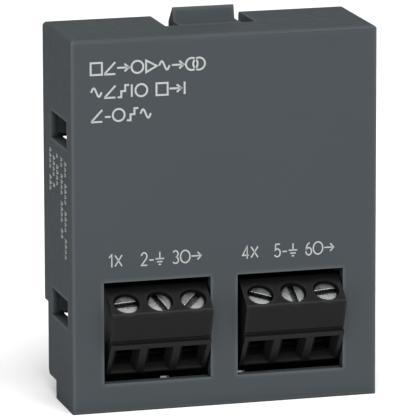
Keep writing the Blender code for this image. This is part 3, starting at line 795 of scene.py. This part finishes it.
def make_screw(number):
    """One captive screw, slotted at its own angle."""
    bm = bmesh.new()
    verts = [bm.verts.new((radius * MM, 0.0, up * MM)) for radius, up in head_profile()]
    edges = [bm.edges.new(pair) for pair in zip(verts, verts[1:])]
    bmesh.ops.spin(bm, geom=verts + edges, axis=(0, 0, 1), cent=(0, 0, 0), angle=math.tau,
                   steps=64, use_merge=True)
    bmesh.ops.remove_doubles(bm, verts=bm.verts, dist=1e-7)
    place = terminal_frame(number) @ Matrix.Rotation(math.radians(SLOT_TURNS[number - 1]), 4, "Z")
    screw = link_piece(f"screw_{number}", bm, place)
    slot = bmesh.new()
    add_local_box(slot, (-2.0, -SLOT_WIDE / 2, -HEAD_SINK - SLOT_DEEP), (2.0, SLOT_WIDE / 2, 1.0))
    combine(screw, slot, "DIFFERENCE", place)
    soften(screw, 0.035, 2, 40.0)
    thread = bmesh.new()
    add_thread(thread)
    combine(screw, thread, "UNION", place)
    return screw


for number in WAYS:
    screw = make_screw(number)
    finish_piece(screw, f"screw_{number}", "screw_steel", screw_zinc, f"terminal_screw_{number}")

# %% [markdown]
# The back cover snaps in from behind.  Its flat plate is stiffened by a frame
# around the socket and carries the small round witness marks that ejector
# pins leave, and four arms with wedge lugs reach into the side holes.
# %% Rear cover
COVER_THICK = 1.2
COVER_SPAN = (1.8, 40.3)
COVER_HALF = WIDTH / 2 - WALL - 0.3
ARM_THICK = 0.85
ARM_FRONT = 7.3
LUG_OUT = 1.0
socket_low, socket_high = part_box("rear_socket")
SOCKET_HALF = socket_high.x / MM
SOCKET_UP = (socket_low.z / MM, socket_high.z / MM)
SOCKET_DEEP = ((socket_low.y - shell_low.y) / MM, (socket_high.y - shell_low.y) / MM)
SOCKET_GAP = 0.4
COLLAR = 1.5
COLLAR_RISE = 0.45
EJECTOR_PLACES = ((-12.0, 37.0), (12.0, 37.0), (-12.0, 13.5), (12.0, 13.5))
EJECTOR_RADIUS = 1.0
EJECTOR_DEEP = 0.16


def cover_outline():
    """Side outline of the stepped plate."""
    upper = DEPTH - COVER_THICK
    lower = SKIRT_DEEP - COVER_THICK
    return [(lower, COVER_SPAN[0]), (SKIRT_DEEP, COVER_SPAN[0]), (SKIRT_DEEP, SKIRT_UP),
            (DEPTH, SKIRT_UP), (DEPTH, COVER_SPAN[1]), (upper, COVER_SPAN[1]),
            (upper, SKIRT_UP + COVER_THICK), (lower, SKIRT_UP + COVER_THICK)]


def add_arm(bm, side, low):
    """A snap arm with its lug."""
    back = DEPTH - COVER_THICK + 0.4
    lug_back = SNAP_SPAN[1] - 0.3
    outline = [(COVER_HALF - ARM_THICK, back), (COVER_HALF - ARM_THICK, ARM_FRONT),
               (COVER_HALF, ARM_FRONT), (COVER_HALF + LUG_OUT, lug_back - 0.45),
               (COVER_HALF + LUG_OUT, lug_back), (COVER_HALF, lug_back), (COVER_HALF, back)]
    corners = [at(side * x, deep, low + 0.65) for x, deep in outline]
    add_prism(bm, corners, (0, 0, (SNAP_TALL - 1.0) * MM))


def make_cover():
    """The back plate with arms, socket frame and witness marks."""
    bm = bmesh.new()
    add_side_prism(bm, cover_outline(), COVER_HALF)
    cover = link_piece("back_cover", bm)
    arms = bmesh.new()
    for low in SNAP_LOWS:
        for side in (-1, 1):
            add_arm(arms, side, low)
    combine(cover, arms, "UNION")
    collar = bmesh.new()
    add_box(collar, (-SOCKET_HALF - COLLAR, SOCKET_HALF + COLLAR), (DEPTH - 0.4, DEPTH + COLLAR_RISE),
            (SOCKET_UP[0] - COLLAR, SOCKET_UP[1] + COLLAR))
    combine(cover, collar, "UNION")
    holes = bmesh.new()
    add_box(holes, (-SOCKET_HALF - SOCKET_GAP, SOCKET_HALF + SOCKET_GAP), (DEPTH - 3, DEPTH + 2),
            (SOCKET_UP[0] - SOCKET_GAP, SOCKET_UP[1] + SOCKET_GAP))
    for low in SNAP_LOWS:
        notch_top = low - 0.45 if low > SKIRT_UP else low - 0.14
        for side in (-1, 1):
            add_box(holes, sorted((side * (COVER_HALF + 1), side * (COVER_HALF - 1.6))),
                    (SKIRT_DEEP - 3, DEPTH + 1), (notch_top - 3.2, notch_top))
    combine(cover, holes, "DIFFERENCE")
    marks = bmesh.new()
    for across, up in EJECTOR_PLACES:
        turned = Matrix.Translation(at(across, DEPTH, up)) @ Matrix.Rotation(math.pi / 2, 4, "X")
        bmesh.ops.create_cone(marks, cap_ends=True, segments=40, radius1=EJECTOR_RADIUS * MM,
                              radius2=EJECTOR_RADIUS * MM, depth=EJECTOR_DEEP * MM, matrix=turned)
    combine(cover, marks, "DIFFERENCE")
    soften(cover, 0.08)
    return cover


finish_piece(make_cover(), "module", "cover_black", cover_plastic, "rear_cover")

# %% [markdown]
# The socket is a plain black strip with two rows of square mouths.  Each mouth
# is bevelled inwards so that a pin that is a little off still finds its
# contact, so every hole gets a funnel as well as a bore.
# %% Rear socket
CONTACT_PITCH = 2.54
CONTACT_COLUMNS = 6
CONTACT_HOLE = 1.5
MOUTH_HALF = 1.0
MOUTH_DEEP = 0.4
KEY_ACROSS = 4.2
KEY_HALF = 0.6
KEY_DEEP = 0.35


def contact_places():
    """(across, up) of each contact."""
    middle = sum(SOCKET_UP) / 2
    for row in (-0.5, 0.5):
        for column in range(CONTACT_COLUMNS):
            yield (column - (CONTACT_COLUMNS - 1) / 2) * CONTACT_PITCH, middle + row * CONTACT_PITCH


def make_socket():
    """The socket body with its mouths."""
    bm = bmesh.new()
    add_box(bm, (-SOCKET_HALF, SOCKET_HALF), SOCKET_DEEP, SOCKET_UP)
    socket = link_piece("plug_socket", bm)
    bores = bmesh.new()
    half = CONTACT_HOLE / 2
    for across, up in contact_places():
        add_box(bores, (across - half, across + half), (SOCKET_DEEP[0] - 1, SOCKET_DEEP[1] + 1),
                (up - half, up + half))
    combine(socket, bores, "DIFFERENCE")
    mouths = bmesh.new()
    turned = Matrix.Rotation(math.pi, 4, "Z")
    for across, up in contact_places():
        place = Matrix.Translation(at(across, SOCKET_DEEP[1], up)) @ turned
        one = bmesh.new()
        add_funnel(one, (MOUTH_HALF, -MOUTH_HALF, MOUTH_HALF),
                   (half - 0.02, -half + 0.02, half - 0.02), -0.01, MOUTH_DEEP)
        one.transform(place)
        part = bpy.data.meshes.new("mouth")
        one.to_mesh(part)
        one.free()
        mouths.from_mesh(part)
        bpy.data.meshes.remove(part)
    combine(socket, mouths, "DIFFERENCE")
    keys = bmesh.new()
    for across in (-KEY_ACROSS, KEY_ACROSS):
        add_box(keys, (across - KEY_HALF, across + KEY_HALF), (SOCKET_DEEP[1] - 3, SOCKET_DEEP[1] + 1),
                (SOCKET_UP[1] - KEY_DEEP, SOCKET_UP[1] + 1))
    combine(socket, keys, "DIFFERENCE")
    soften(socket, 0.07)
    return socket


finish_piece(make_socket(), "module", "block_black", block_plastic, "rear_socket")

# %% [markdown]
# A circuit board shows its copper through a green lacquer: tracks lie a shade
# lighter and a hair higher.  A brick-like grid bent by noise would look like
# cloth, so tracks here are thin bands of a stepped field, which run straight
# and turn square as real ones do.
# %% Board and parts on it
def board_lacquer():
    """Green lacquer over straight copper tracks."""
    material, tree, shader, places = new_nodes("board_lacquer")
    tracks = tree.nodes.new("ShaderNodeTexBrick")
    tracks.inputs["Scale"].default_value = 1.0 / (2.2 * MM)
    tracks.inputs["Mortar Size"].default_value = 0.03
    tracks.inputs["Mortar Smooth"].default_value = 0.2
    turned = tree.nodes.new("ShaderNodeMapping")
    turned.inputs["Rotation"].default_value = (math.pi / 2, 0.0, 0.0)
    tree.links.new(places, turned.inputs["Vector"])
    tree.links.new(turned.outputs["Vector"], tracks.inputs["Vector"])
    weave = add_noise(tree, places, 0.3, 3.0)
    base = add_mix(tree, weave, (0.003, 0.014, 0.009), (0.005, 0.022, 0.013))
    copper = add_mix(tree, tracks.outputs["Fac"], base, (0.008, 0.04, 0.02))
    # Painted shade: the lacquer darkens to near black in recesses and under the parts on it.
    recess_shaded = add_mix(tree, add_recess_shade(tree, 7.0, 0.1, 0.8), (0.001, 0.003, 0.002), copper)
    tree.links.new(recess_shaded, shader.inputs["Base Color"])
    tree.links.new(add_range(tree, weave, 0.22, 0.36), shader.inputs["Roughness"])
    add_bump(tree, shader, tracks.outputs["Fac"], 0.02)
    return material


board_green = board_lacquer()
chip_epoxy = moulded_plastic("chip_epoxy", (0.02, 0.02, 0.021), 0.5, 0.07, 0.003)
ferrite = moulded_plastic("ferrite", (0.045, 0.046, 0.05), 0.7, 0.05, 0.008)
resistor_glaze = moulded_plastic("resistor_glaze", (0.03, 0.035, 0.06), 0.3, 0.2, 0.002)
FINISHES = {"board_green": board_green, "chip_black": chip_epoxy, "ferrite_grey": ferrite,
            "can_aluminium": can_metal, "crystal_steel": can_metal,
            "resistor_ceramic": resistor_glaze, "cage_steel": cage_zinc, "bar_tin": bar_tin,
            "contact_gold": contact_gold}
dressed = 0
for part in frame["record"]["subparts"]:
    node = frame["nodes"][part["node"]]
    finish = FINISHES.get(part["material_slot"])
    if finish:
        node.data.materials.clear()
        node.data.materials.append(finish)
        dressed += 1
print("carried-over sub-parts dressed:", dressed)

# %% [markdown]
# The marks are pad printed: a film of light ink a few hundredths thick.  They
# are kept generic on purpose - plain electrical signs and terminal numbers -
# and drawn as strokes, each stroke a thin ribbon lying on the face, so the
# line weight stays even however a sign is built.
# %% Printed marks
INK_THICK = 0.02
INK_LIFT = 0.004
STROKE = 0.21


def print_ink():
    """Light grey printing ink, slightly uneven where the pad left less of it."""
    material, tree, shader, places = new_nodes("print_ink")
    patch = add_noise(tree, places, 0.22, 3.0)
    tone = add_mix(tree, patch, (0.25, 0.265, 0.265), (0.33, 0.345, 0.345))
    tree.links.new(tone, shader.inputs["Base Color"])
    tree.links.new(add_range(tree, patch, 0.45, 0.6), shader.inputs["Roughness"])
    add_bump(tree, shader, patch, 0.002)
    return material


ink = print_ink()


def arc(cx, cy, rx, ry, start, end, steps=14):
    """Points along part of an ellipse, angles in degrees."""
    angles = [math.radians(start + (end - start) * step / steps) for step in range(steps + 1)]
    return [(cx + rx * math.cos(angle), cy + ry * math.sin(angle)) for angle in angles]


def signs():
    """Each sign as (advance, strokes) on a unit-high em; x runs from 0."""
    wave = [(0.08 + 0.74 * step / 16, 0.5 + 0.32 * math.sin(math.tau * step / 16))
            for step in range(17)]
    return {
        "square": (0.95, [[(0.06, 0.06), (0.86, 0.06), (0.86, 0.94), (0.06, 0.94), (0.06, 0.06)]]),
        "ramp": (0.95, [[(0.06, 0.06), (0.86, 0.06)], [(0.1, 0.1), (0.86, 0.94)]]),
        "circle": (1.0, [arc(0.48, 0.5, 0.42, 0.45, 0, 360, 28)]),
        "wave": (0.95, [wave]),
        "arrow": (1.0, [[(0.04, 0.5), (0.86, 0.5)], [(0.56, 0.78), (0.88, 0.5), (0.56, 0.22)]]),
        "triangle": (0.95, [[(0.1, 0.06), (0.1, 0.94), (0.86, 0.5), (0.1, 0.06)]]),
        "step": (0.95, [[(0.06, 0.06), (0.32, 0.06), (0.32, 0.5), (0.6, 0.5),
                         (0.6, 0.94), (0.88, 0.94)]]),
        "bar": (0.32, [[(0.12, 0.04), (0.12, 0.96)]]),
        "dash": (0.6, [[(0.1, 0.4), (0.5, 0.4)]]),
        "space": (0.5, []),
        "ground": (0.95, [[(0.45, 0.96), (0.45, 0.46)], [(0.06, 0.46), (0.84, 0.46)],
                          [(0.2, 0.24), (0.7, 0.24)], [(0.34, 0.04), (0.56, 0.04)]]),
        "open": (0.85, [[(0.1, 0.1), (0.7, 0.9)], [(0.1, 0.9), (0.7, 0.1)]]),
        "source": (1.5, [arc(0.46, 0.5, 0.42, 0.45, 0, 360, 28),
                         arc(0.98, 0.5, 0.42, 0.45, 0, 360, 28)]),
        "1": (0.5, [[(0.08, 0.74), (0.32, 0.96), (0.32, 0.04)]]),
        "2": (0.68, [arc(0.32, 0.69, 0.25, 0.27, 170, -35, 12) + [(0.08, 0.04), (0.6, 0.04)]]),
        "3": (0.68, [arc(0.3, 0.73, 0.23, 0.23, 150, -90, 12),
                     arc(0.3, 0.27, 0.26, 0.23, 90, -150, 12)]),
        "4": (0.7, [[(0.46, 0.04), (0.46, 0.96), (0.06, 0.3), (0.62, 0.3)]]),
        "5": (0.68, [[(0.54, 0.96), (0.16, 0.96), (0.11, 0.53)]
                     + arc(0.3, 0.33, 0.27, 0.29, 115, -150, 12)]),
        "6": (0.68, [arc(0.33, 0.3, 0.25, 0.27, 0, 360, 20),
                     arc(0.45, 0.3, 0.37, 0.62, 180, 95, 10)]),
    }


SIGNS = signs()


def stroke_outline(points, width):
    """Both sides of a ribbon that follows points, with mitred corners."""
    points = [Vector(point) for point in points]
    closed = (points[0] - points[-1]).length < 1e-6
    if closed:
        points = points[:-1]
    count = len(points)
    sides = []
    for index, point in enumerate(points):
        before = points[index - 1] if closed or index else None
        after = points[(index + 1) % count] if closed or index < count - 1 else None
        normals = []
        if before is not None:
            way = (point - before).normalized()
            normals.append(Vector((-way.y, way.x)))
        if after is not None:
            way = (after - point).normalized()
            normals.append(Vector((-way.y, way.x)))
        mitre = sum(normals, Vector((0, 0))).normalized()
        reach = width / 2 / max(0.5, mitre.dot(normals[0]))
        sides.append((point + mitre * reach, point - mitre * reach))
    return sides, closed


def add_stroke(bm, points, width, place):
    """Add one ribbon of ink, thick enough to catch light at its edge."""
    sides, closed = stroke_outline(points, width)
    rings = []
    for left, right in sides:
        ring = []
        for flat, lift in ((left, 0.0), (right, 0.0), (right, INK_THICK), (left, INK_THICK)):
            ring.append(bm.verts.new(place @ Vector((flat.x * MM, flat.y * MM, lift * MM))))
        rings.append(ring)
    pairs = list(zip(rings, rings[1:]))
    if closed:
        pairs.append((rings[-1], rings[0]))
    for first, second in pairs:
        for index in range(4):
            after = (index + 1) % 4
            bm.faces.new((first[index], second[index], second[after], first[after]))
    if not closed:
        bm.faces.new(rings[0])
        bm.faces.new(rings[-1][::-1])


def print_signs(bm, names, place, tall, wide=1.0, width=STROKE):
    """Print a line of signs; returns its length in millimetres."""
    pen = 0.0
    for name in names:
        advance, strokes = SIGNS[name]
        for stroke in strokes:
            points = [(pen + x * tall * wide, y * tall) for x, y in stroke]
            add_stroke(bm, points, width, place)
        pen += advance * tall * wide
    return pen


def front_place(across, up):
    """A frame on the front face: local x right, local y up, local z out."""
    axes = Matrix(((1, 0, 0), (0, 0, -1), (0, 1, 0))).to_4x4()
    return Matrix.Translation(at(across, -INK_LIFT, up)) @ axes


HEADING_LEFT = -15.35
HEADING_TALL = 1.5
HEADING_WIDE = 1.06
HEADING_LINES = ((38.12, "square ramp arrow circle triangle wave arrow source"),
                 (35.5, "wave ramp step bar circle space square arrow bar"),
                 (32.87, "ramp dash circle step wave"))
heading = bmesh.new()
lengths = []
for up, names in HEADING_LINES:
    place = front_place(HEADING_LEFT, up)
    lengths.append(print_signs(heading, names.split(), place, HEADING_TALL, HEADING_WIDE))
heading = link_piece("print_heading", heading, sharp=20.0)
finish_piece(heading, "module", "print_grey", ink)
print("heading lines, mm:", [round(length, 1) for length in lengths])

# %% [markdown]
# Above each screw a short label gives the terminal's number and a sign for
# what it carries.  The same stroke routine prints them, only finer, because
# these are the smallest marks that the pad can still hold.
# %% Terminal numbers
LABEL_UP = 16.47
LABEL_TALL = 1.55
LABEL_STROKE = 0.15
LABELS = ((-5.62, ("open",), 0.85), (-1.92, ("dash", "ground"), 0.82), (1.68, ("circle", "arrow"), 0.84))
labels = bmesh.new()
for middle, first in zip(WINDOW_MIDDLES, (1, 4)):
    for step, (across, names, wide) in enumerate(LABELS):
        place = front_place(middle + across, LABEL_UP)
        print_signs(labels, (str(first + step), *names), place, LABEL_TALL, wide, LABEL_STROKE)
labels = link_piece("print_terminal_numbers", labels, sharp=20.0)
finish_piece(labels, "module", "print_grey", ink)

# %% [markdown]
# The left side carries five short lines of tiny laser-marked characters.  At
# this size they only read as texture, so they are drawn as rows of small
# generic ticks whose lengths follow a fixed pattern.
# %% Side marks
SIDE_ROWS = ((10.1, 28.3, 4.4), (8.5, 28.3, 3.9), (6.9, 28.2, 3.8),
             (4.9, 28.2, 8.8), (3.2, 28.0, 11.2))
TICK_STEP = 0.62
TICK_HEIGHTS = (0.95, 0.7, 0.95, 0.6, 0.8)
TICK_STROKE = 0.11


def side_place(deep, up):
    """A frame on the left wall: local x down, local y towards the front, local z out."""
    axes = Matrix(((0, 0, -1), (0, -1, 0), (-1, 0, 0))).to_4x4()
    return Matrix.Translation(at(-WIDTH / 2 - INK_LIFT, deep, up)) @ axes


ticks = bmesh.new()
for row, (deep, up, length) in enumerate(SIDE_ROWS):
    place = side_place(deep, up)
    pen = 0.0
    index = 0
    while pen < length:
        pattern = (index * 7 + row * 3) % 5
        tall = TICK_HEIGHTS[pattern]
        if pattern != 3:
            add_stroke(ticks, [(pen, 0.0), (pen + 0.12, tall)], TICK_STROKE, place)
            add_stroke(ticks, [(pen + 0.3, 0.0), (pen + 0.3, tall * 0.8)], TICK_STROKE, place)
        if pattern in (0, 2):
            add_stroke(ticks, [(pen + 0.05, tall * 0.5), (pen + 0.32, tall * 0.5)], 0.1, place)
        pen += TICK_STEP
        index += 1
ticks = link_piece("print_side_marks", ticks, sharp=20.0)
finish_piece(ticks, "module", "print_grey", ink)
